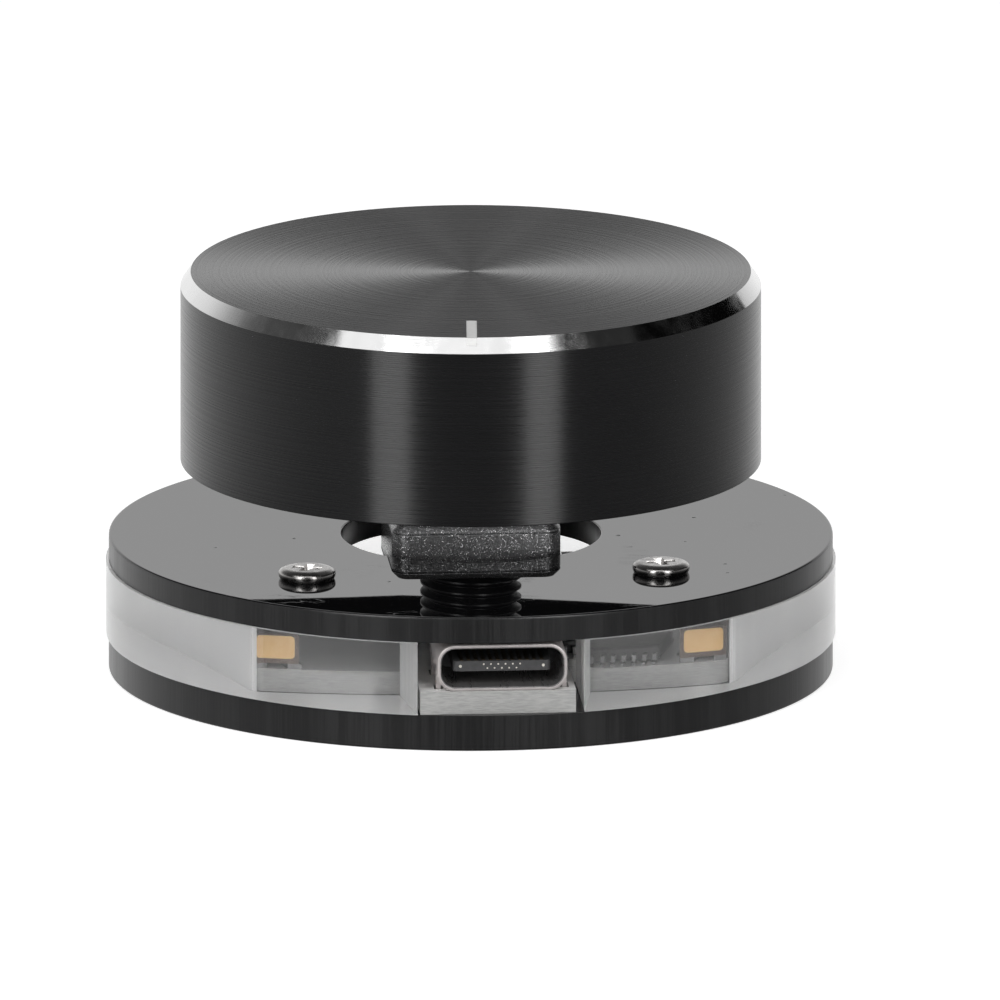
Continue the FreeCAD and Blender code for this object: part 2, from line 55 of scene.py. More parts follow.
camera_back = Vector((
    math.sin(camera_azimuth) * math.cos(camera_elevation),
    -math.cos(camera_azimuth) * math.cos(camera_elevation),
    math.sin(camera_elevation),
))
camera_up = camera_back.cross(camera_right)
view_centre = Vector((0, 0, 14 * MM)) + 2.0 * MM * camera_right - 2.26 * MM * camera_up

camera_data = bpy.data.cameras.new("camera")
camera_data.type = "ORTHO"
camera_data.ortho_scale = view_width
camera = bpy.data.objects.new("camera", camera_data)
camera.location = view_centre + camera_distance * camera_back
camera.rotation_euler = (math.pi / 2 - camera_elevation, 0, camera_azimuth)
bpy.context.scene.collection.objects.link(camera)
bpy.context.scene.camera = camera
bpy.context.scene.view_settings.view_transform = "Standard"


# ---- Studio ----------------------------------------------------------------------
# A white sweep: pale floor, white surroundings behind and at the sides, and a darker
# room in front, where two tall strip lights and an overhead softbox stand. Two black
# cards shade what mirrors.
def add_node(tree, kind, **settings):
    made = tree.nodes.new(kind)
    for key, value in settings.items():
        setattr(made, key, value)
    return made


def feed(tree, value, socket):
    """Link a socket, or set a plain number, vector or opaque colour."""
    if isinstance(value, bpy.types.NodeSocket):
        tree.links.new(value, socket)
    elif socket.type == "RGBA":
        socket.default_value = (*value, 1)
    else:
        socket.default_value = value


def calculate(tree, operation, *values, kind="ShaderNodeMath"):
    made = add_node(tree, kind, operation=operation)
    for value, socket in zip(values, made.inputs):
        feed(tree, value, socket)
    return made.outputs[0]


def ramp(tree, value, low, high, low_value=0.0, high_value=1.0):
    """A smooth step from low_value to high_value as the value goes from low to high."""
    made = add_node(tree, "ShaderNodeMapRange", interpolation_type="SMOOTHSTEP")
    feed(tree, value, made.inputs["Value"])
    ends = {"From Min": low, "From Max": high, "To Min": low_value, "To Max": high_value}
    for name, number in ends.items():
        feed(tree, number, made.inputs[name])
    return made.outputs[0]


def blend_colours(tree, factor, first, second):
    made = add_node(tree, "ShaderNodeMix", data_type="RGBA")
    for name, value in {"Factor": factor, "A": first, "B": second}.items():
        feed(tree, value, made.inputs[name])
    return made.outputs["Result"]


def seen_directly(tree):
    """One for what the camera sees, also through the clear layer, and nought for the rest."""
    path = add_node(tree, "ShaderNodeLightPath")
    return calculate(tree, "MAXIMUM", path.outputs["Is Camera Ray"], path.outputs["Is Transmission Ray"])


def new_material(name):
    material = bpy.data.materials.new(name)
    material.use_nodes = True
    return material, material.node_tree


def set_shader(tree, **values):
    """Feed the shader's inputs, named with underscores for spaces."""
    shader = tree.nodes["Principled BSDF"]
    for key, value in values.items():
        feed(tree, value, shader.inputs[key.replace("_", " ")])


def link_mesh(build, name, materials):
    """Make a build an object of its own."""
    mesh = bpy.data.meshes.new(name)
    build.to_mesh(mesh)
    build.free()
    for material in materials:
        mesh.materials.append(material)
    made = bpy.data.objects.new(name, mesh)
    bpy.context.scene.collection.objects.link(made)
    return made


world = bpy.data.worlds.new("studio")
world.use_nodes = True
bpy.context.scene.world = world
sky = world.node_tree
direction = add_node(sky, "ShaderNodeSeparateXYZ")
feed(sky, add_node(sky, "ShaderNodeTexCoord").outputs["Generated"], direction.inputs[0])
toward_back = add_node(sky, "ShaderNodeMapRange")
for name, value in {"Value": direction.outputs["Y"], "From Min": -0.45, "From Max": 0.95}.items():
    feed(sky, value, toward_back.inputs[name])
sideness = calculate(sky, "MULTIPLY", direction.outputs["X"], direction.outputs["X"])
room = calculate(sky, "MULTIPLY_ADD", sideness, 0.25, 0.1)
backness = calculate(sky, "MULTIPLY_ADD", calculate(sky, "POWER", toward_back.outputs[0], 1.8), 0.86, room)
overhead = ramp(sky, direction.outputs["Z"], 0.26, 0.55, 1.0, 0.14)
right_side = ramp(sky, direction.outputs["X"], 0.3, 0.95, 1.0, 0.62)
surround = calculate(sky, "MULTIPLY", calculate(sky, "MULTIPLY", backness, overhead), right_side)
level = calculate(sky, "MAXIMUM", surround, seen_directly(sky))
feed(sky, level, sky.nodes["Background"].inputs["Strength"])
feed(sky, (1, 1, 1), sky.nodes["Background"].inputs["Color"])


def add_softbox(name, azimuth, elevation, distance, width, height, radiance):
    """A rectangular light that faces the part, its azimuth measured from the socket's side."""
    data = bpy.data.lights.new(name, "AREA")
    data.shape = "RECTANGLE"
    data.size = width
    data.size_y = height
    data.energy = radiance * math.pi * width * height
    light = bpy.data.objects.new(name, data)
    turn = math.radians(azimuth)
    rise = math.radians(elevation)
    light.location = distance * Vector((
        math.sin(turn) * math.cos(rise), -math.cos(turn) * math.cos(rise), math.sin(rise),
    ))
    light.rotation_euler = (math.pi / 2 - rise, 0, turn)
    light.visible_camera = False
    bpy.context.scene.collection.objects.link(light)


add_softbox("strip_left", -35.5, 25, 0.5, 0.135, 0.5, 5.0)
add_softbox("strip_right", 24, 25, 0.5, 0.125, 0.5, 5.0)
add_softbox("overhead", -20, 62, 0.6, 0.75, 0.35, 1.1)


def solid_box(name):
    """A CAD solid's lowest and highest corners, in millimetres."""
    low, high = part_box(name)
    return Vector(low) / MM, Vector(high) / MM


flag_black, tree = new_material("flag_black")
set_shader(tree, Base_Color=(0.003, 0.003, 0.003), Specular_IOR_Level=0.0, Roughness=1.0)


def add_flag(name, corners):
    """A black card, its corners in millimetres, that only mirror-like surfaces see."""
    build = bmesh.new()
    build.faces.new([build.verts.new(corner) for corner in corners])
    bmesh.ops.scale(build, vec=(MM, MM, MM), verts=build.verts)
    flag = link_mesh(build, name, [flag_black])
    flag.visible_camera = False
    flag.visible_diffuse = False
    flag.visible_transmission = False
    flag.visible_shadow = False


# One flag darkens the right of the knob's chamfer, from the right side round to the back.
flag_centre = 420 * Vector((0.804, 0.282, 0.522))
flag_along = 225 * Vector((-0.015, 0.889, -0.457))
flag_across = 62 * Vector((-0.593, 0.359, 0.719))
add_flag("side_flag", [
    flag_centre + flag_along + flag_across, flag_centre - flag_along + flag_across,
    flag_centre - flag_along - flag_across, flag_centre + flag_along - flag_across,
])

# The other stands low behind and shows as a black crescent along the plate's front edge.
# Its lower edge is that crescent's outline on the plate, carried back along the mirrored view.
plate_top = solid_box("top_plate")[1].z
flag_distance = 120
crescent_edge = [
    (-17.1, -18.2), (-15.5, -18.3), (-10, -18.1), (-6.1, -17.8), (2.1, -19.3), (7.4, -20.8), (11.3, -22.0),
]
crescent_back = [(14, -28), (-20, -28)]


def mirrored_place(x, y):
    """Where the view mirrored at a point of the plate's face meets the flag."""
    run = flag_distance - y
    side = -run * math.tan(camera_azimuth)
    rise = run * math.tan(camera_elevation) / math.cos(camera_azimuth)
    return Vector((x + side, flag_distance, plate_top + rise))


add_flag("low_flag", [mirrored_place(x, y) for x, y in crescent_edge + crescent_back])

# The paper glows a little where it is seen, and is clear from below, so the underside shows.
paper, tree = new_material("white_paper")
set_shader(
    tree, Base_Color=(0.9, 0.9, 0.9), Roughness=0.9, Emission_Color=(1, 1, 1),
    Emission_Strength=calculate(tree, "MULTIPLY", seen_directly(tree), 0.7))
see_through = add_node(tree, "ShaderNodeMixShader")
feed(tree, add_node(tree, "ShaderNodeNewGeometry").outputs["Backfacing"], see_through.inputs[0])
feed(tree, tree.nodes["Principled BSDF"].outputs[0], see_through.inputs[1])
feed(tree, add_node(tree, "ShaderNodeBsdfTransparent").outputs[0], see_through.inputs[2])
feed(tree, see_through.outputs[0], tree.nodes["Material Output"].inputs["Surface"])

build = bmesh.new()
bmesh.ops.create_grid(build, x_segments=1, y_segments=1, size=2.5)
floor = link_mesh(build, "floor", [paper])
floor.visible_glossy = False
floor.location.z = -0.05 * MM


# ---- Acrylic base ----------------------------------------------------------------
# Three layers of laser-cut acrylic: a black plate, a clear ring and a black plate.
# The faces keep the sheet's gloss, and the cut edges carry the laser's fine upright lines.
plate_radius = solid_box("top_plate")[1].x
ring_radius = solid_box("middle_ring")[1].x
ring_bottom = solid_box("bottom_plate")[1].z
ring_top, base_top = (corner.z for corner in solid_box("top_plate"))
plate_clearance = 0.02
cavity_width = 31.4
cavity_corner = 0.9
cavity_offset = 0.3
slot_width = 11.5
opening_radius = 8.9
round_steps = 256


def rounded_profile(corners):
    """Round each (radius, level, softness) corner, with a point each side that holds the flats level."""
    points = []
    for index, (radius, level, softness) in enumerate(corners):
        here = Vector((radius, level))
        before = (Vector(corners[index - 1][:2]) - here).normalized()
        after = (Vector(corners[(index + 1) % len(corners)][:2]) - here).normalized()
        if not softness:
            points.append(tuple(here))
            continue
        hold = 1.6 * softness
        points.append(tuple(here + hold * before))
        for step in range(4):
            angle = math.radians(30 * step)
            rounded = here + softness * ((1 - math.sin(angle)) * before + (1 - math.cos(angle)) * after)
            points.append(tuple(rounded))
        points.append(tuple(here + hold * after))
    return points


def lathe(build, profile, steps=round_steps):
    """Turn (radius, level) points about Z; the profile runs with the solid on its left."""
    verts = [build.verts.new((radius, 0, level)) for radius, level in profile]
    edges = [build.edges.new(pair) for pair in zip(verts, verts[1:])]
    if profile[0][0] > 0:
        edges.append(build.edges.new((verts[-1], verts[0])))
    bmesh.ops.spin(
        build, geom=verts + edges, cent=(0, 0, 0), axis=(0, 0, 1), angle=2 * math.pi,
        steps=steps, use_merge=True,
    )
    bmesh.ops.remove_doubles(build, verts=build.verts, dist=1e-5)
    bmesh.ops.recalc_face_normals(build, faces=build.faces)


def raise_faces(build, faces, shift):
    """Extrude faces by a shift, and return their new corners."""
    raised = bmesh.ops.extrude_face_region(build, geom=faces)["geom"]
    corners = [item for item in raised if isinstance(item, bmesh.types.BMVert)]
    bmesh.ops.translate(build, vec=shift, verts=corners)
    return corners


def finish_piece(build, name, body, materials, replaced=(), smooth_angle=32, turn=0.0):
    """Place a mesh drawn in millimetres, turned about Z, and set it riding on its body."""
    placing = Matrix.Scale(MM, 4) @ Matrix.Rotation(math.radians(turn), 4, "Z")
    bmesh.ops.transform(build, verts=build.verts, matrix=placing)
    piece = link_mesh(build, name, materials)
    piece.data.shade_smooth()
    piece.data.set_sharp_from_angle(angle=math.radians(smooth_angle))
    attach(piece, body)
    if replaced:
        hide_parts(*replaced)
    return piece


def new_group(name, inputs, outputs):
    """A shader node group: inputs maps a name to its first value, outputs lists names."""
    tree = bpy.data.node_groups.new(name, "ShaderNodeTree")
    for key, value in inputs.items():
        kind = "NodeSocketFloat" if isinstance(value, float) else "NodeSocketVector"
        socket = tree.interface.new_socket(key, in_out="INPUT", socket_type=kind)
        if isinstance(value, float):
            socket.default_value = value
    for key in outputs:
        tree.interface.new_socket(key, in_out="OUTPUT", socket_type="NodeSocketFloat")
    return tree, add_node(tree, "NodeGroupInput").outputs, add_node(tree, "NodeGroupOutput").inputs


def use_group(tree, group, **values):
    """Place a group, its inputs named with underscores for spaces."""
    made = add_node(tree, "ShaderNodeGroup", node_tree=group)
    for key, value in values.items():
        feed(tree, value, made.inputs[key.replace("_", " ")])
    return made.outputs


def object_place(tree):
    return add_node(tree, "ShaderNodeTexCoord").outputs["Object"]


def stretch(tree, vector, scale):
    """Scale a position axis by axis."""
    return calculate(tree, "MULTIPLY", vector, scale, kind="ShaderNodeVectorMath")


def noise_node(tree, vector, scale, detail=2.0, roughness=0.5):
    made = add_node(tree, "ShaderNodeTexNoise")
    values = {"Vector": vector, "Scale": scale, "Detail": detail, "Roughness": roughness}
    for name, value in values.items():
        feed(tree, value, made.inputs[name])
    return made


def noise(tree, vector, *grain):
    """A noise's level, its grain given as scale, detail and roughness."""
    return noise_node(tree, vector, *grain).outputs["Fac"]


def cells(tree, vector, scale):
    """Scattered cells: how far a place is from its cell's middle, and the cell's random number."""
    made = add_node(tree, "ShaderNodeTexVoronoi", feature="F1")
    feed(tree, vector, made.inputs["Vector"])
    feed(tree, scale, made.inputs["Scale"])
    pick = add_node(tree, "ShaderNodeSeparateColor")
    feed(tree, made.outputs["Color"], pick.inputs[0])
    return made.outputs["Distance"], pick.outputs[0]


def bump(tree, height, distance, strength):
    made = add_node(tree, "ShaderNodeBump")
    for name, value in {"Distance": distance, "Strength": strength, "Height": height}.items():
        feed(tree, value, made.inputs[name])
    return made.outputs["Normal"]


# Dust: sparse specks, as a mask.
dust_group, given, result = new_group("dust_specks", {"Place": (0, 0, 0), "Density": 0.1}, ["Mask"])
distance, number = cells(dust_group, given["Place"], 900)
near = ramp(dust_group, distance, 0.10, 0.16, 1.0, 0.0)
chosen = calculate(dust_group, "LESS_THAN", number, given["Density"])
feed(dust_group, calculate(dust_group, "MULTIPLY", near, chosen), result["Mask"])

# Hairline scratches: thin bent lines, mostly along one direction, as a mask.
scratch_group, given, result = new_group("hairline_scratches", {"Place": (0, 0, 0), "Amount": 0.5}, ["Mask"])
warp = noise_node(scratch_group, given["Place"], 90).outputs["Color"]
bent = calculate(
    scratch_group, "MULTIPLY_ADD", warp, (0.006, 0.006, 0.006), given["Place"], kind="ShaderNodeVectorMath")
fine = noise(scratch_group, stretch(scratch_group, bent, (1.0, 7.0, 1.0)), 260, 1.0)
from_middle = calculate(scratch_group, "ABSOLUTE", calculate(scratch_group, "SUBTRACT", fine, 0.5))
line = ramp(scratch_group, from_middle, 0.0, 0.006, 1.0, 0.0)
patches = ramp(scratch_group, noise(scratch_group, given["Place"], 170, 1.0), 0.6, 0.72)
shown = calculate(scratch_group, "MULTIPLY", line, patches)
feed(scratch_group, calculate(scratch_group, "MULTIPLY", shown, given["Amount"]), result["Mask"])

# Laser lines: upright ridges round a cut edge, as a height and a tone.
laser_group, given, result = new_group(
    "laser_lines", {"Place": (0, 0, 0), "Lines Per Metre": 6000.0}, ["Height", "Tone"])
upright = stretch(laser_group, given["Place"], (1.0, 1.0, 0.02))
fine = noise(laser_group, upright, given["Lines Per Metre"], 3.0, 0.7)
broad = noise(laser_group, upright, 700, 2.0)
feed(laser_group, fine, result["Height"])
both = calculate(laser_group, "MULTIPLY", fine, broad)
feed(laser_group, ramp(laser_group, both, 0.18, 0.34), result["Tone"])

black_face, tree = new_material("black_acrylic_face")
place = object_place(tree)
dust = use_group(tree, dust_group, Place=place, Density=0.05)["Mask"]
scratch = use_group(tree, scratch_group, Place=place, Amount=1.0)["Mask"]
blemish = calculate(tree, "MAXIMUM", dust, scratch)
set_shader(
    tree, Base_Color=blend_colours(tree, blemish, (0.004, 0.004, 0.0045), (0.07, 0.07, 0.075)),
    Roughness=ramp(tree, blemish, 0.0, 1.0, 0.008, 0.4),
    Normal=bump(tree, calculate(tree, "SUBTRACT", dust, scratch), 0.00002, 0.5))

black_edge, tree = new_material("black_acrylic_cut")
laser = use_group(tree, laser_group, Place=object_place(tree), Lines_Per_Metre=5200.0)
set_shader(
    tree, Base_Color=blend_colours(tree, laser["Tone"], (0.013, 0.013, 0.0135), (0.02, 0.02, 0.0205)),
    Roughness=ramp(tree, laser["Tone"], 0.0, 1.0, 0.28, 0.33), IOR=1.49,
    Normal=bump(tree, laser["Height"], 0.00001, 0.8))


def mark_cut_edges(build):
    """Give the upright laser-cut walls the second material."""
    for face in build.faces:
        if abs(face.normal.z) < 0.5:
            face.material_index = 1


build = bmesh.new()
lathe(build, rounded_profile([
    (opening_radius, ring_top, 0.03), (plate_radius, ring_top, 0.03),
    (plate_radius, base_top, 0.12), (opening_radius, base_top, 0.08),
]))
mark_cut_edges(build)
finish_piece(build, "top_layer", "base", [black_face, black_edge], ["top_plate"])

build = bmesh.new()
lathe(build, rounded_profile([
    (0, 0, 0), (plate_radius, 0, 0.12), (plate_radius, ring_bottom, 0.03), (0, ring_bottom, 0),
]))
mark_cut_edges(build)
finish_piece(build, "bottom_layer", "base", [black_face, black_edge], ["bottom_plate"])


def clear_cut(name, tone, transmission, lines, roughness, relief):
    """A laser-cut face of the clear sheet, its roughness a range over the lines."""
    material, tree = new_material(name)
    laser = use_group(tree, laser_group, Place=object_place(tree), Lines_Per_Metre=lines)
    set_shader(
        tree, Base_Color=(tone, tone, tone), Transmission_Weight=transmission, IOR=1.49,
        Roughness=ramp(tree, laser["Tone"], 0.0, 1.0, *roughness),
        Normal=bump(tree, laser["Height"], *relief))
    return material


clear_wall = clear_cut("clear_acrylic_cut", 0.98, 0.96, 2400.0, (0.05, 0.09), (0.000002, 0.3))
# The cut walls facing left and right are a paler, less clear copy of the cut acrylic: painted light on walls
# that the plates shade.
side_wall_painted_light = clear_cut("clear_acrylic_side_painted_light", 0.93, 0.3, 2200.0, (0.4, 0.6), (0.00001, 0.4))
window_wall = clear_cut("clear_acrylic_window", 0.98, 0.98, 2200.0, (0.06, 0.16), (0.000003, 0.3))

clear_face, tree = new_material("clear_acrylic_face")
set_shader(
    tree, Base_Color=(1, 1, 1), Transmission_Weight=0.3, IOR=1.49,
    Roughness=ramp(tree, noise(tree, object_place(tree), 300, 2.0), 0.4, 0.7, 0.01, 0.06))

ring_low = ring_bottom + plate_clearance
ring_high = ring_top - plate_clearance
slot_left = cavity_offset - slot_width / 2
slot_right = cavity_offset + slot_width / 2
slot_left_turn = math.atan2(-math.sqrt(ring_radius**2 - slot_left**2), slot_left)
slot_right_turn = math.atan2(-math.sqrt(ring_radius**2 - slot_right**2), slot_right)
build = bmesh.new()
first = build.verts.new((
    ring_radius * math.cos(slot_right_turn), ring_radius * math.sin(slot_right_turn), ring_low))
swept = bmesh.ops.spin(
    build, geom=[first], cent=(0, 0, 0), axis=(0, 0, 1),
    angle=slot_left_turn + 2 * math.pi - slot_right_turn, steps=round_steps, use_merge=False,
)
last = [item for item in swept["geom_last"] if isinstance(item, bmesh.types.BMVert)][0]
half = cavity_width / 2
inner_points = [
    (slot_left, -half), (cavity_offset - half, -half), (cavity_offset - half, half),
    (cavity_offset + half, half), (cavity_offset + half, -half), (slot_right, -half),
]
inner = [build.verts.new((x, y, ring_low)) for x, y in inner_points]
for pair in zip([last] + inner, inner + [first]):
    build.edges.new(pair)
bmesh.ops.bevel(
    build, geom=inner[1:5], offset=cavity_corner, offset_type="OFFSET", segments=8, profile=0.5,
    affect="VERTICES", material=-1,
)
bmesh.ops.contextual_create(build, geom=build.edges[:])
raise_faces(build, build.faces[:], (0, 0, ring_high - ring_low))
bmesh.ops.recalc_face_normals(build, faces=build.faces)
outer_band = 0.2
for face in build.faces:
    if abs(face.normal.z) > 0.5:
        face.material_index = 1
    elif face.calc_center_median().xy.length < ring_radius - outer_band:
        # Walls facing left and right take the paler copy, painted light; the others stay clear.
        face.material_index = 2 if abs(face.normal.x) > 0.5 else 3
finish_piece(
    build, "clear_layer", "base", [clear_wall, clear_face, side_wall_painted_light, window_wall],
    ["middle_ring"])


# ---- Case screws -----------------------------------------------------------------
# Four M2 steel machine screws with a low rounded head and a cross recess, driven from
# above through the top plate and the board into the tapped bottom plate.
screw_low, screw_high = solid_box("case_screws")
screw_head_radius = 1.97
screw_head_height = screw_high.z - base_top
screw_x = screw_high.x - screw_head_radius
screw_y = screw_high.y - screw_head_radius
screw_places = [(-1, -1, -20), (1, -1, 10), (-1, 1, 62), (1, 1, 5)]
shank_radius = 0.95
thread_radius = 0.8
thread_pitch = 0.4
thread_sunk = 0.02
crown_radius = 1.3
widest_level = 0.4
foot_inset = 0.3
recess_width = 0.6
recess_span = 2.0
recess_depth = 0.45
recess_taper = 0.75

screw_metal, tree = new_material("screw_steel")
place = object_place(tree)
grain = noise(tree, place, 2500, 4.0, 0.7)
worn = ramp(tree, noise(tree, place, 700, 3.0), 0.4, 0.65)
set_shader(
    tree, Base_Color=blend_colours(tree, worn, (0.29, 0.28, 0.275), (0.43, 0.42, 0.41)), Metallic=1.0,
    Roughness=ramp(tree, grain, 0.3, 0.7, 0.12, 0.32), Normal=bump(tree, grain, 0.000006, 0.5))


def cut_through(build, geom, point, normal):
    """Cut geometry where a plane crosses it, and keep both sides."""
    bmesh.ops.bisect_plane(build, geom=geom, plane_co=point, plane_no=normal, dist=1e-6)


def sink_faces(build, faces, depth):
    """Press faces down with walls round them, and return their lowered corners."""
    lowered = raise_faces(build, faces, (0, 0, -depth))
    bmesh.ops.delete(build, geom=faces, context="FACES_ONLY")
    return lowered


def add_to(build, part):
    """Join a part's mesh to a build."""
    mesh = bpy.data.meshes.new("part")
    part.to_mesh(mesh)
    part.free()
    build.from_mesh(mesh)
    bpy.data.meshes.remove(mesh)


def add_screw_head(build, x, y, turn):
    """A rounded disc head with a cross sunk into it, added at its place."""
    head = bmesh.new()
    profile = [(0, screw_head_height), (0.9 * crown_radius, screw_head_height)]
    for step in range(10):
        angle = math.radians(90 - 10 * step)
        profile.append((
            crown_radius + (screw_head_radius - crown_radius) * math.cos(angle),
            widest_level + (screw_head_height - widest_level) * math.sin(angle),
        ))
    for step in range(1, 6):
        angle = math.radians(12 * step)
        profile.append((
            screw_head_radius - foot_inset * (1 - math.cos(angle)),
            widest_level * (1 - math.sin(angle) / 0.866),
        ))
    profile.append((0, 0))
    lathe(head, profile, 64)
    half_width = recess_width / 2
    half_span = recess_span / 2
    for normal in (Vector((1, 0, 0)), Vector((0, 1, 0))):
        for offset in (-half_span, -half_width, half_width, half_span):
            cut_through(head, head.verts[:] + head.edges[:] + head.faces[:], offset * normal, normal)
    sunk = []
    for face in head.faces:
        middle = face.calc_center_median()
        in_bar = abs(middle.x) < half_span and abs(middle.y) < half_width
        in_cross_bar = abs(middle.y) < half_span and abs(middle.x) < half_width
        if face.normal.z > 0.9 and (in_bar or in_cross_bar):
            sunk.append(face)
    bmesh.ops.scale(head, vec=(recess_taper, recess_taper, 1), verts=sink_faces(head, sunk, recess_depth))
    bmesh.ops.recalc_face_normals(head, faces=head.faces)
    placing = Matrix.Translation((x, y, base_top)) @ Matrix.Rotation(math.radians(turn), 4, "Z")
    bmesh.ops.transform(head, verts=head.verts, matrix=placing)
    add_to(build, head)


def add_thread(build, x, y, bottom, top, root, crest, pitch, steps):
    """A screw thread as a helix of V ridges: one profile turn after turn, its foot in the core."""
    half = pitch / 2
    profile = [(root, 0), (crest, half * 0.85), (crest, half * 1.15), (root, pitch)]
    ridge = bmesh.new()
    verts = [ridge.verts.new((radius, 0, bottom + level)) for radius, level in profile]
    edges = [ridge.edges.new(pair) for pair in zip(verts, verts[1:])]
    turns = int((top - bottom - pitch) / pitch)
    bmesh.ops.spin(
        ridge, geom=verts + edges, cent=(0, 0, 0), axis=(0, 0, 1), angle=2 * math.pi * turns,
        dvec=(0, 0, pitch / steps), steps=steps * turns, use_merge=False,
    )
    bmesh.ops.remove_doubles(ridge, verts=ridge.verts, dist=1e-4)
    bmesh.ops.holes_fill(ridge, edges=[edge for edge in ridge.edges if edge.is_boundary], sides=6)
    bmesh.ops.recalc_face_normals(ridge, faces=ridge.faces)
    bmesh.ops.translate(ridge, vec=(x, y, 0), verts=ridge.verts)
    add_to(build, ridge)


build = bmesh.new()
for side, end, turn in screw_places:
    x = side * screw_x
    y = end * screw_y
    add_screw_head(build, x, y, turn)
    bmesh.ops.create_cone(
        build, cap_ends=True, segments=24, radius1=thread_radius, radius2=thread_radius,
        depth=base_top - screw_low.z, matrix=Matrix.Translation((x, y, (base_top + screw_low.z) / 2)),
    )
    add_thread(
        build, x, y, screw_low.z, base_top, thread_radius - thread_sunk, shank_radius, thread_pitch, 16)
finish_piece(build, "machine_screws", "base", [screw_metal], ["case_screws"], 40)


# ---- Circuit board ---------------------------------------------------------------
# A 1.6 mm glass-fibre board with white solder mask, its tongue reaching out under the
# socket. The cut edge shows the fibre layers.
def dress(name, material):
    """Give a carried-over CAD solid its finish."""
    mesh = nodes[name].data
    mesh.materials.clear()
    mesh.materials.append(material)
    for face in mesh.polygons:
        face.material_index = 0


board_white, tree = new_material("white_solder_mask")
place = object_place(tree)
facing = add_node(tree, "ShaderNodeSeparateXYZ")
feed(tree, add_node(tree, "ShaderNodeNewGeometry").outputs["Normal"], facing.inputs[0])
flat_face = ramp(tree, calculate(tree, "ABSOLUTE", facing.outputs["Z"]), 0.5, 0.6)
fibre = noise(tree, stretch(tree, place, (1.0, 1.0, 9.0)), 1500, 3.0, 0.6)
fibre_tone = ramp(tree, fibre, 0.35, 0.65)
edge_colour = blend_colours(tree, fibre_tone, (0.34, 0.34, 0.335), (0.43, 0.43, 0.42))
mask_colour = blend_colours(tree, noise(tree, place, 500, 2.0), (0.76, 0.76, 0.75), (0.86, 0.86, 0.85))
set_shader(
    tree, Base_Color=blend_colours(tree, flat_face, edge_colour, mask_colour),
    Roughness=ramp(tree, flat_face, 0.0, 1.0, 0.75, 0.33), Normal=bump(tree, fibre, 0.00002, 0.4))
dress("circuit_board", board_white)


# ---- USB-C socket ----------------------------------------------------------------
# A steel shell bent round from one strip, with a black moulded tongue inside that
# carries two rows of gold contacts. Four legs hold the shell in the board.
socket_width = 8.94
socket_height = 3.26
socket_wall = 0.3
socket_corner = 1.25
socket_x = 0.4
leg_width = 1.1
leg_place = 2.1
shell_low, shell_high = solid_box("usb_shell")
socket_front = shell_low.y
socket_back = shell_high.y
socket_middle = shell_high.z - socket_height / 2


def grained(name, dark, pale, grain, roughness, relief=None, along=None, metallic=0.0):
    """A finish that runs from dark to pale with one grain: a noise's scale, detail and roughness.

    The roughness is one value, or the two it runs between. Relief is the bump's distance
    and strength, and along draws the grain out into lines.
    """
    material, tree = new_material(name)
    place = object_place(tree)
    if along:
        place = stretch(tree, place, along)
    level = noise(tree, place, *grain)
    if isinstance(roughness, tuple):
        roughness = ramp(tree, level, 0.3, 0.7, *roughness)
    set_shader(
        tree, Base_Color=blend_colours(tree, level, dark, pale), Roughness=roughness, Metallic=metallic)
    if relief:
        set_shader(tree, Normal=bump(tree, level, *relief))
    return material


def rounded_sheet(build, width, depth, corner, segments):
    """A flat rounded rectangle round the origin."""
    bmesh.ops.create_grid(build, x_segments=1, y_segments=1, size=0.5)
    bmesh.ops.scale(build, vec=(width, depth, 1), verts=build.verts)
    bmesh.ops.bevel(
        build, geom=build.verts[:], offset=corner, offset_type="OFFSET", segments=segments, profile=0.5,
        affect="VERTICES", material=-1,
    )


def soften(build, edges, width):
    bmesh.ops.bevel(
        build, geom=edges, offset=width, offset_type="OFFSET", segments=3, profile=0.5,
        affect="EDGES", material=-1, clamp_overlap=True,
    )


def tip_back(build, place):
    """Turn what was raised from the ground to run from front to back, and set it in its place."""
    bmesh.ops.rotate(build, verts=build.verts, cent=(0, 0, 0), matrix=Matrix.Rotation(-math.pi / 2, 3, "X"))
    bmesh.ops.translate(build, vec=place, verts=build.verts)


def add_box(build, size, centre):
    verts = bmesh.ops.create_cube(build, size=1)["verts"]
    bmesh.ops.scale(build, vec=size, verts=verts)
    bmesh.ops.translate(build, vec=centre, verts=verts)


drawn_back = (1.0, 0.08, 1.0)
socket_metal = grained(
    "socket_steel", (0.6, 0.55, 0.54), (0.76, 0.72, 0.71), (4000, 3.0, 0.6), (0.38, 0.5), (0.000008, 0.5),
    drawn_back, metallic=0.6)
# The shell's inward faces take a darker copy of the steel: painted shade for the dark inside of the socket.
socket_inside_painted_shade = grained(
    "socket_inside_painted_shade", (0.12, 0.12, 0.12), (0.22, 0.21, 0.21), (4000, 3.0, 0.6), (0.25, 0.4),
    along=drawn_back, metallic=0.5)

build = bmesh.new()
rounded_sheet(build, socket_width, socket_height, socket_corner, 10)
outline = build.faces[:]
bmesh.ops.inset_region(build, faces=outline, thickness=socket_wall, use_even_offset=True, use_boundary=True)
bmesh.ops.delete(build, geom=outline, context="FACES")
raise_faces(build, build.faces[:], (0, 0, socket_back - socket_front))
bmesh.ops.recalc_face_normals(build, faces=build.faces)
mouth = [
    edge for edge in build.edges
    if all(vert.co.z < 1e-4 for vert in edge.verts) and edge.calc_face_angle(0) > 1.0
]
soften(build, mouth, 0.09)
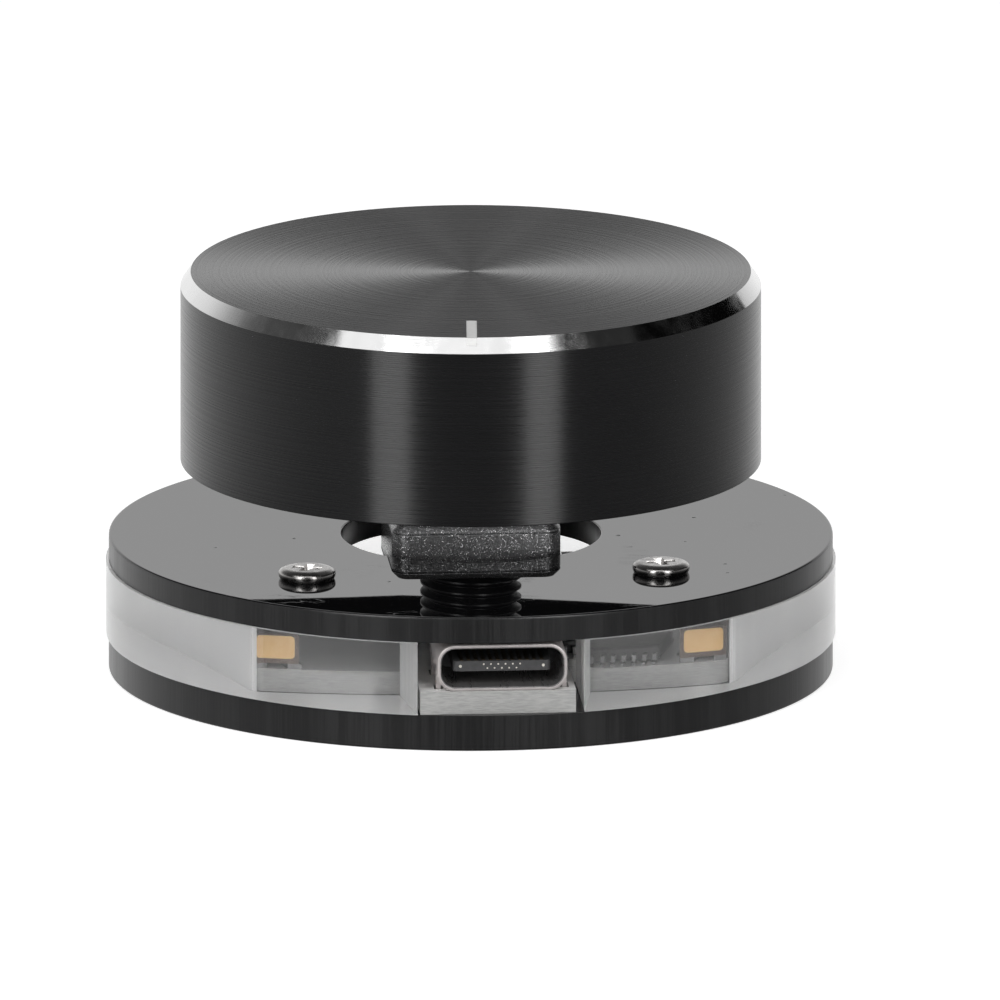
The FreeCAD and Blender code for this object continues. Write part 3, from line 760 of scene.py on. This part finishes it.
# Faces turned toward the middle get that darker copy, painted shade.
for face in build.faces:
    if face.normal.xy.dot(face.calc_center_median().xy) < -0.3:
        face.material_index = 1
tip_back(build, (socket_x, socket_front, socket_middle))
leg_height = socket_middle - ring_bottom
for side in (-1, 1):
    leg_x = socket_x + side * (socket_width - socket_wall) / 2
    for along in (-leg_place, leg_place):
        leg_y = (socket_front + socket_back) / 2 + along
        add_box(build, (socket_wall, leg_width, leg_height), (leg_x, leg_y, ring_bottom + leg_height / 2))
finish_piece(build, "socket_shell", "base", [socket_metal, socket_inside_painted_shade], ["usb_shell"], 35)

moulding = grained(
    "black_moulding", (0.008, 0.008, 0.009), (0.025, 0.025, 0.026), (3500, 3.0, 0.6), (0.35, 0.6),
    (0.00001, 0.5))
tongue_grey = grained(
    "socket_tongue", (0.04, 0.04, 0.042), (0.09, 0.09, 0.092), (3000, 3.0), 0.45, (0.00001, 0.4))
gold = grained(
    "gold_contacts", (0.8, 0.6, 0.32), (0.92, 0.82, 0.62), (5000, 2.0), (0.2, 0.45), metallic=1.0)
# The contacts inside the socket are a darkened gold: painted shade for the dark inside of the socket.
shaded_gold = grained(
    "contacts_painted_shade", (0.07, 0.055, 0.035), (0.14, 0.11, 0.07), (5000, 2.0), (0.3, 0.5), metallic=1.0)
worn_tips = grained(
    "worn_contact_tips", (0.7, 0.65, 0.56), (0.9, 0.88, 0.82), (5000, 2.0), (0.4, 0.6), metallic=0.3)

# The contacts' ends show as dots on the blade's front, with a larger one near each side.
blade_low, blade_high = solid_box("usb_tongue")
blade_middle = (blade_low.z + blade_high.z) / 2
tip_pitch = 0.5
tip_radius = 0.08
end_tip_radius = 0.13
end_tip_place = 2.85
tip_thickness = 0.08
tips = [(socket_x + tip_pitch * (column - 2.5), blade_middle + 0.13, tip_radius) for column in range(6)]
tips += [(socket_x + tip_pitch * (column - 2), blade_middle - 0.15, tip_radius) for column in range(5)]
tips += [(socket_x + side * end_tip_place, blade_middle, end_tip_radius) for side in (-1, 1)]
build = bmesh.new()
for x, level, radius in tips:
    bmesh.ops.create_cone(
        build, cap_ends=True, segments=16, radius1=radius, radius2=0.7 * radius, depth=tip_thickness,
        matrix=Matrix.Translation((x, blade_low.y + 0.01, level)) @ Matrix.Rotation(math.pi / 2, 4, "X"))
finish_piece(build, "blade_tips", "base", [worn_tips])
dress("usb_tongue", tongue_grey)
# The socket's contacts take the darkened gold, painted shade.
dress("usb_contacts", shaded_gold)


# ---- Small parts on the board ----------------------------------------------------
# Four side-lit LEDs with yellow phosphor, the microcontroller with tinned gull-wing
# leads, three capacitors and six resistors, all soldered to the board's top.
led_low, led_high = solid_box("led_phosphors")
led_width = 3.5
led_depth = 1.8
led_height = led_high.z - led_low.z
frame_setback = 0.03
phosphor_width = 2.9
phosphor_height = 1.6
phosphor_corner = 0.3
phosphor_below_top = 0.1

phosphor = grained(
    "led_phosphor", (0.8, 0.46, 0.17), (0.95, 0.68, 0.34), (2200, 3.0, 0.7), 0.5, (0.00003, 0.5))
led_frame = grained(
    "led_frame", (0.07, 0.045, 0.035), (0.15, 0.105, 0.085), (2600, 3.0), 0.4, (0.00001, 0.5))
build = bmesh.new()
for side in (-1, 1):
    for end in (-1, 1):
        centre_x = side * (led_high.x - led_width / 2)
        centre_y = end * (led_high.y - led_depth / 2)
        add_box(
            build, (led_width, led_depth - 2 * frame_setback, led_height),
            (centre_x, centre_y, (led_low.z + led_high.z) / 2))
        pane = bmesh.new()
        rounded_sheet(pane, phosphor_width, phosphor_height, phosphor_corner, 6)
        raise_faces(pane, pane.faces[:], (0, 0, led_depth))
        bmesh.ops.recalc_face_normals(pane, faces=pane.faces)
        tip_back(pane, (
            centre_x, centre_y - led_depth / 2, led_high.z - phosphor_below_top - phosphor_height / 2))
        for face in pane.faces:
            face.material_index = 1
        add_to(build, pane)
finish_piece(build, "side_leds", "base", [led_frame, phosphor], ["led_phosphors"])

tin = grained(
    "tinned_metal", (0.6, 0.6, 0.59), (0.82, 0.82, 0.81), (3500, 3.0), (0.2, 0.45), (0.00001, 0.5),
    metallic=1.0)
dull_tin = grained(
    "dull_solder", (0.16, 0.16, 0.16), (0.34, 0.34, 0.34), (3500, 3.0), 0.5, (0.00002, 0.6), metallic=1.0)
epoxy = grained(
    "chip_epoxy", (0.012, 0.012, 0.012), (0.035, 0.035, 0.035), (6000, 3.0), 0.5, (0.000008, 0.6))
dress("led_terminals", dull_tin)
dress("microcontroller_leads", dull_tin)
dress("microcontroller", epoxy)


def two_ended(name, dark, pale, across, centres, half_length):
    """A ceramic body with tinned ends, the ends found by distance from each part's middle."""
    material, tree = new_material(name)
    place = object_place(tree)
    axes = add_node(tree, "ShaderNodeSeparateXYZ")
    feed(tree, place, axes.inputs[0])
    from_middle = calculate(tree, "SUBTRACT", calculate(tree, "ABSOLUTE", axes.outputs[across]), centres)
    metal_end = calculate(
        tree, "GREATER_THAN", calculate(tree, "ABSOLUTE", from_middle), half_length * 0.62)
    body = blend_colours(tree, noise(tree, place, 3000, 3.0), dark, pale)
    set_shader(
        tree, Base_Color=blend_colours(tree, metal_end, body, (0.7, 0.7, 0.69)), Metallic=metal_end,
        Roughness=ramp(tree, metal_end, 0.0, 1.0, 0.5, 0.3))
    return material


capacitor_half_length = 1.0 * MM
resistor_half_length = 0.8 * MM
capacitor_low, capacitor_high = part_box("capacitors")
dress("capacitors", two_ended(
    "capacitor_ceramic", (0.34, 0.23, 0.13), (0.42, 0.3, 0.18), "Y",
    abs(capacitor_low[1] + capacitor_high[1]) / 2, capacitor_half_length))
dress("resistors", two_ended(
    "resistor_ceramic", (0.012, 0.012, 0.013), (0.02, 0.02, 0.022), "X",
    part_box("resistors")[1][0] - resistor_half_length, resistor_half_length))


# ---- Encoder ---------------------------------------------------------------------
# A push-switch rotary encoder: moulded base, blackened steel bracket, and a die-cast
# housing whose M7 x 0.75 bushing stands up round the shaft.
housing_low, housing_high = solid_box("encoder_housing")
housing_width = housing_high.x - housing_low.x
housing_depth = housing_high.y - housing_low.y
bushing_height = 5.0
bushing_top = housing_high.z
housing_top = bushing_top - bushing_height
housing_corner = 1.2
housing_chamfer = 0.5
groove_height = 0.1
groove_depth = 0.14
lip_chamfer = 0.06
bushing_core = 2.98
bushing_bore = 2.29
bushing_crest = 3.47
bushing_pitch = 0.75
bushing_chamfer = 0.35
bushing_root = 0.5

# Cast grain: a rough skin with bright bare grains, as a height and a mask of the bare ones.
cast_group, given, result = new_group(
    "cast_grain", {"Place": (0, 0, 0), "Grain Scale": 9000.0, "Bareness": 0.5}, ["Height", "Bare"])
distance, number = cells(cast_group, given["Place"], given["Grain Scale"])
soft = noise(cast_group, given["Place"], 2600, 4.0, 0.7)
feed(cast_group, calculate(cast_group, "MULTIPLY", distance, soft), result["Height"])
patches = noise(cast_group, given["Place"], 900, 2.0)
bare_share = calculate(cast_group, "MULTIPLY", given["Bareness"], patches)
bare = calculate(cast_group, "LESS_THAN", number, bare_share)
inside = ramp(cast_group, distance, 0.3, 0.65, 1.0, 0.0)
feed(cast_group, calculate(cast_group, "MULTIPLY", bare, inside), result["Bare"])


def cast_material(name, skin, bare, bareness, roughness):
    """A mottled blackened skin with bare grains of metal in it."""
    material, tree = new_material(name)
    place = object_place(tree)
    cast = use_group(tree, cast_group, Place=place, Grain_Scale=15000.0, Bareness=bareness)
    mottle = ramp(tree, noise(tree, place, 7000, 5.0, 0.8), 0.36, 0.66)
    mottled_skin = blend_colours(tree, mottle, [0.25 * part for part in skin], [2.6 * part for part in skin])
    set_shader(
        tree, Base_Color=blend_colours(tree, cast["Bare"], mottled_skin, bare),
        Roughness=ramp(tree, mottle, 0.0, 1.0, roughness + 0.08, roughness - 0.08),
        Metallic=ramp(tree, cast["Bare"], 0.0, 1.0, 0.45, 0.8),
        Normal=bump(tree, cast["Height"], 0.00003, 0.8))
    return material


cast_black = cast_material("black_die_cast", (0.115, 0.115, 0.117), (0.85, 0.85, 0.86), 0.32, 0.25)
steel_black = cast_material("blackened_steel", (0.03, 0.03, 0.031), (0.2, 0.2, 0.21), 0.1, 0.38)
turned_round = (0.1, 0.1, 1.0)
thread_black = grained(
    "blackened_thread", (0.009, 0.009, 0.01), (0.022, 0.022, 0.023), (9000, 3.0, 0.6), (0.26, 0.4),
    (0.000004, 0.5), turned_round)


def add_housing_layer(build, inset, low, high, chamfer):
    """One layer of the housing, its outline drawn in by the inset and its top edge chamfered."""
    layer = bmesh.new()
    rounded_sheet(
        layer, housing_width - 2 * inset, housing_depth - 2 * inset, housing_corner - inset, 8)
    wall_height = high - chamfer - low
    raise_faces(layer, layer.faces[:], (0, 0, wall_height))
    bmesh.ops.recalc_face_normals(layer, faces=layer.faces)
    roof = [face for face in layer.faces if face.normal.z > 0.9]
    bmesh.ops.inset_region(layer, faces=roof, thickness=chamfer, depth=chamfer, use_even_offset=True)
    rims = [
        edge for edge in layer.edges
        if edge.calc_face_angle(0) > 0.6 and all(vert.co.z > wall_height - 0.01 for vert in edge.verts)
    ]
    soften(layer, rims, 0.05)
    bmesh.ops.translate(layer, vec=(0, 0, low), verts=layer.verts)
    add_to(build, layer)


build = bmesh.new()
seam_level = housing_top - housing_chamfer
add_housing_layer(build, 0.0, housing_low.z, seam_level - groove_height, lip_chamfer)
add_housing_layer(build, groove_depth, seam_level - 2 * groove_height, seam_level + groove_height, 0.02)
add_housing_layer(build, 0.0, seam_level, housing_top, housing_chamfer - lip_chamfer)
finish_piece(build, "encoder_case", "base", [cast_black], ["encoder_housing"], 40)

build = bmesh.new()
lathe(build, [
    (bushing_bore, housing_top - bushing_root), (bushing_core, housing_top - bushing_root),
    (bushing_core, bushing_top - bushing_chamfer), (bushing_core - bushing_chamfer, bushing_top),
    (bushing_bore, bushing_top),
], 96)
add_thread(
    build, 0, 0, housing_top, bushing_top - 0.1, bushing_core - thread_sunk, bushing_crest, bushing_pitch, 96)
finish_piece(build, "threaded_bushing", "base", [thread_black], ["encoder_housing"], 25)
dress("encoder_base", moulding)
dress("encoder_bracket", steel_black)
dress("encoder_terminals", tin)


# ---- Encoder works ---------------------------------------------------------------
# Inside the encoder: the sprung fingers on their slotted disc, the moulded rotor and
# switch slider, the detent spring and snap dome, and the turned shaft with its ring.
rotor_plastic = grained(
    "rotor_moulding", (0.52, 0.5, 0.44), (0.68, 0.66, 0.6), (2500, 3.0), 0.45, (0.00001, 0.4))
spring_metal = grained(
    "spring_steel", (0.48, 0.47, 0.45), (0.64, 0.63, 0.61), (5000, 3.0), (0.2, 0.4),
    along=(1.0, 0.1, 1.0), metallic=1.0)
shaft_steel = grained(
    "shaft_metal", (0.52, 0.52, 0.51), (0.7, 0.7, 0.69), (9000, 2.0), (0.2, 0.4), (0.000008, 0.5),
    turned_round, metallic=1.0)
for name in ("wiper_contacts", "code_disc"):
    dress(name, gold)
for name in ("encoder_rotor", "switch_slider"):
    dress(name, rotor_plastic)
for name in ("detent_spring", "switch_dome", "retaining_ring"):
    dress(name, spring_metal)


def smooth_copy(name, node, material):
    """A CAD solid smoothed, and out of sight of mirrors as the knob over it is."""
    build = bmesh.new()
    build.from_mesh(nodes[node].data)
    bmesh.ops.scale(build, vec=(1 / MM, 1 / MM, 1 / MM), verts=build.verts)
    bmesh.ops.remove_doubles(build, verts=build.verts, dist=1e-4)
    bmesh.ops.recalc_face_normals(build, faces=build.faces)
    piece = finish_piece(build, name, "spindle", [material], [node], 30)
    piece.visible_glossy = False


smooth_copy("turned_shaft", "encoder_shaft", shaft_steel)
smooth_copy("grub_screw", "knob_set_screw", steel_black)


# ---- Knob ------------------------------------------------------------------------
# A solid aluminium knob, turned in one piece and anodised black. The chamfer round the
# top was cut bright afterwards, and a milled slot filled with pale paint is the pointer.
knob_low, knob_high = solid_box("knob")
knob_radius = knob_high.x
knob_bottom = knob_low.z
knob_top = knob_high.z
chamfer_width = 0.7
chamfer_height = 1.0
near_rim = 15
knob_recess_radius = 7.5
knob_recess_depth = 3.2
knob_bore_radius = 3.03
knob_bore_top = solid_box("encoder_shaft")[1].z + 0.3
knob_rest_turn = -4.0
pointer_width = 0.72
pointer_inner_radius = 14.1
pointer_slot_depth = 0.3
pointer_zone_depth = 0.5
knob_steps = 384
grub_low, grub_high = solid_box("knob_set_screw")
grub_level = (grub_low.z + grub_high.z) / 2
grub_hole_radius = 1.52
grub_hole_floor = grub_high.y - 0.1
grub_hole_steps = 48
grub_patch = 2.2

# Turned lines: ridges at even steps along a lathe's path, as a height and a tone.
turned_group, given, result = new_group(
    "turned_lines", {"Place": (0, 0, 0), "Lines Per Metre": 9000.0}, ["Height", "Tone"])
axes = add_node(turned_group, "ShaderNodeSeparateXYZ")
feed(turned_group, given["Place"], axes.inputs[0])
squares = [calculate(turned_group, "MULTIPLY", axes.outputs[axis], axes.outputs[axis]) for axis in ("X", "Y")]
radius = calculate(turned_group, "SQRT", calculate(turned_group, "ADD", *squares))
path = calculate(turned_group, "SUBTRACT", radius, axes.outputs["Z"])
lines = calculate(turned_group, "MULTIPLY", path, given["Lines Per Metre"])
wave = calculate(turned_group, "SINE", calculate(turned_group, "MULTIPLY", lines, 2 * math.pi))
uneven = add_node(turned_group, "ShaderNodeTexNoise", noise_dimensions="1D")
for name, value in {"W": lines, "Scale": 0.9, "Detail": 3.0, "Roughness": 0.7}.items():
    feed(turned_group, value, uneven.inputs[name])
height = calculate(turned_group, "MULTIPLY_ADD", wave, 0.25, uneven.outputs["Fac"])
feed(turned_group, height, result["Height"])
feed(turned_group, ramp(turned_group, uneven.outputs["Fac"], 0.35, 0.65), result["Tone"])

anodised, tree = new_material("black_anodised")
place = object_place(tree)
turned = use_group(tree, turned_group, Place=place, Lines_Per_Metre=7000.0)
dust = use_group(tree, dust_group, Place=place, Density=0.003)["Mask"]
dye = blend_colours(tree, noise(tree, place, 220, 2.0), (0.004, 0.004, 0.0045), (0.007, 0.007, 0.0075))
set_shader(
    tree, Base_Color=blend_colours(tree, dust, dye, (0.12, 0.12, 0.12)), IOR=1.6,
    Roughness=ramp(tree, turned["Tone"], 0.0, 1.0, 0.25, 0.32), Anisotropic=1.0, Anisotropic_Rotation=0.25,
    Tangent=add_node(tree, "ShaderNodeTangent", direction_type="RADIAL", axis="Z").outputs[0],
    Normal=bump(tree, turned["Height"], 0.000006, 0.5))

bright_cut, tree = new_material("bright_cut_metal")
place = object_place(tree)
turned = use_group(tree, turned_group, Place=place, Lines_Per_Metre=9000.0)
smear = noise(tree, stretch(tree, place, (1.0, 1.0, 0.4)), 420, 4.0, 0.6)
set_shader(
    tree, Base_Color=blend_colours(tree, smear, (0.66, 0.66, 0.66), (0.9, 0.9, 0.9)), Metallic=1.0,
    Roughness=ramp(tree, smear, 0.3, 0.7, 0.06, 0.2), Normal=bump(tree, turned["Height"], 0.000003, 0.4))

pointer_paint = grained(
    "pointer_paint", (0.78, 0.78, 0.77), (0.9, 0.9, 0.89), (2500, 3.0), 0.5, (0.00001, 0.5))
dress("pointer_inlay", pointer_paint)

build = bmesh.new()
recess_ceiling = knob_bottom + knob_recess_depth
lathe(build, rounded_profile([
    (0, knob_bore_top, 0), (knob_bore_radius, knob_bore_top, 0),
    (knob_bore_radius, recess_ceiling, 0), (knob_recess_radius, recess_ceiling, 0),
    (knob_recess_radius, knob_bottom, 0.1), (knob_radius, knob_bottom, 0.06),
    (knob_radius, knob_top - chamfer_height, 0), (knob_radius - chamfer_width, knob_top, 0), (0, knob_top, 0),
]), knob_steps)
half_width = pointer_width / 2
for point, normal in (
    ((half_width, 0, 0), (1, 0, 0)), ((-half_width, 0, 0), (1, 0, 0)),
    ((0, -pointer_inner_radius, 0), (0, 1, 0)), ((0, 0, knob_top - pointer_zone_depth), (0, 0, 1)),
):
    cut_through(build, build.verts[:] + build.edges[:] + build.faces[:], point, normal)
sunk = []
for face in build.faces:
    middle = face.calc_center_median()
    in_slot = abs(middle.x) < half_width and middle.y < -pointer_inner_radius
    if in_slot and middle.z > knob_top - pointer_zone_depth and face.normal.z > 0.1:
        sunk.append(face)
    elif 0.1 < face.normal.z < 0.9 and middle.z > knob_top - chamfer_height and middle.xy.length > near_rim:
        face.material_index = 1
sink_faces(build, sunk, pointer_slot_depth)


# The grub screw's hole in the back: a patch of the side is cut out, and a round well let into it.
def side_faces(build):
    """The side wall's faces over the back of the knob."""
    faces = []
    for face in build.faces:
        middle = face.calc_center_median()
        if abs(face.normal.z) < 0.1 and middle.y > 0 and middle.xy.length > knob_radius - 0.05:
            faces.append(face)
    return faces


for point, normal in (
    ((grub_patch, 0, 0), (1, 0, 0)), ((-grub_patch, 0, 0), (1, 0, 0)),
    ((0, 0, grub_level + grub_patch), (0, 0, 1)), ((0, 0, grub_level - grub_patch), (0, 0, 1)),
):
    near = [face for face in side_faces(build) if abs(face.calc_center_median().x) < 2 * grub_patch]
    near_edges = {edge for face in near for edge in face.edges}
    near_verts = {vert for face in near for vert in face.verts}
    cut_through(build, near + list(near_edges) + list(near_verts), point, normal)
patch = []
for face in side_faces(build):
    middle = face.calc_center_median()
    if abs(middle.x) < grub_patch and abs(middle.z - grub_level) < grub_patch:
        patch.append(face)
bmesh.ops.delete(build, geom=patch, context="FACES")
rim = [edge for edge in build.edges if edge.is_boundary]
well = []
for step in range(grub_hole_steps):
    angle = 2 * math.pi * step / grub_hole_steps
    x = grub_hole_radius * math.cos(angle)
    level = grub_level + grub_hole_radius * math.sin(angle)
    well.append(build.verts.new((x, math.sqrt(knob_radius**2 - x**2), level)))
mouth = [build.edges.new(pair) for pair in zip(well, well[1:] + well[:1])]
bmesh.ops.triangle_fill(build, use_beauty=True, use_dissolve=False, edges=rim + mouth, normal=(0, 1, 0))
sunk_well = bmesh.ops.extrude_edge_only(build, edges=mouth)["geom"]
for item in sunk_well:
    if isinstance(item, bmesh.types.BMVert):
        item.co.y = grub_hole_floor
bmesh.ops.contextual_create(build, geom=[
    item for item in sunk_well if isinstance(item, bmesh.types.BMEdge) and item.is_boundary])
bmesh.ops.recalc_face_normals(build, faces=build.faces)
knob = finish_piece(
    build, "turned_knob", "spindle", [anodised, bright_cut], ["knob"], 20,
    turn=knob_rest_turn)
knob.visible_glossy = False
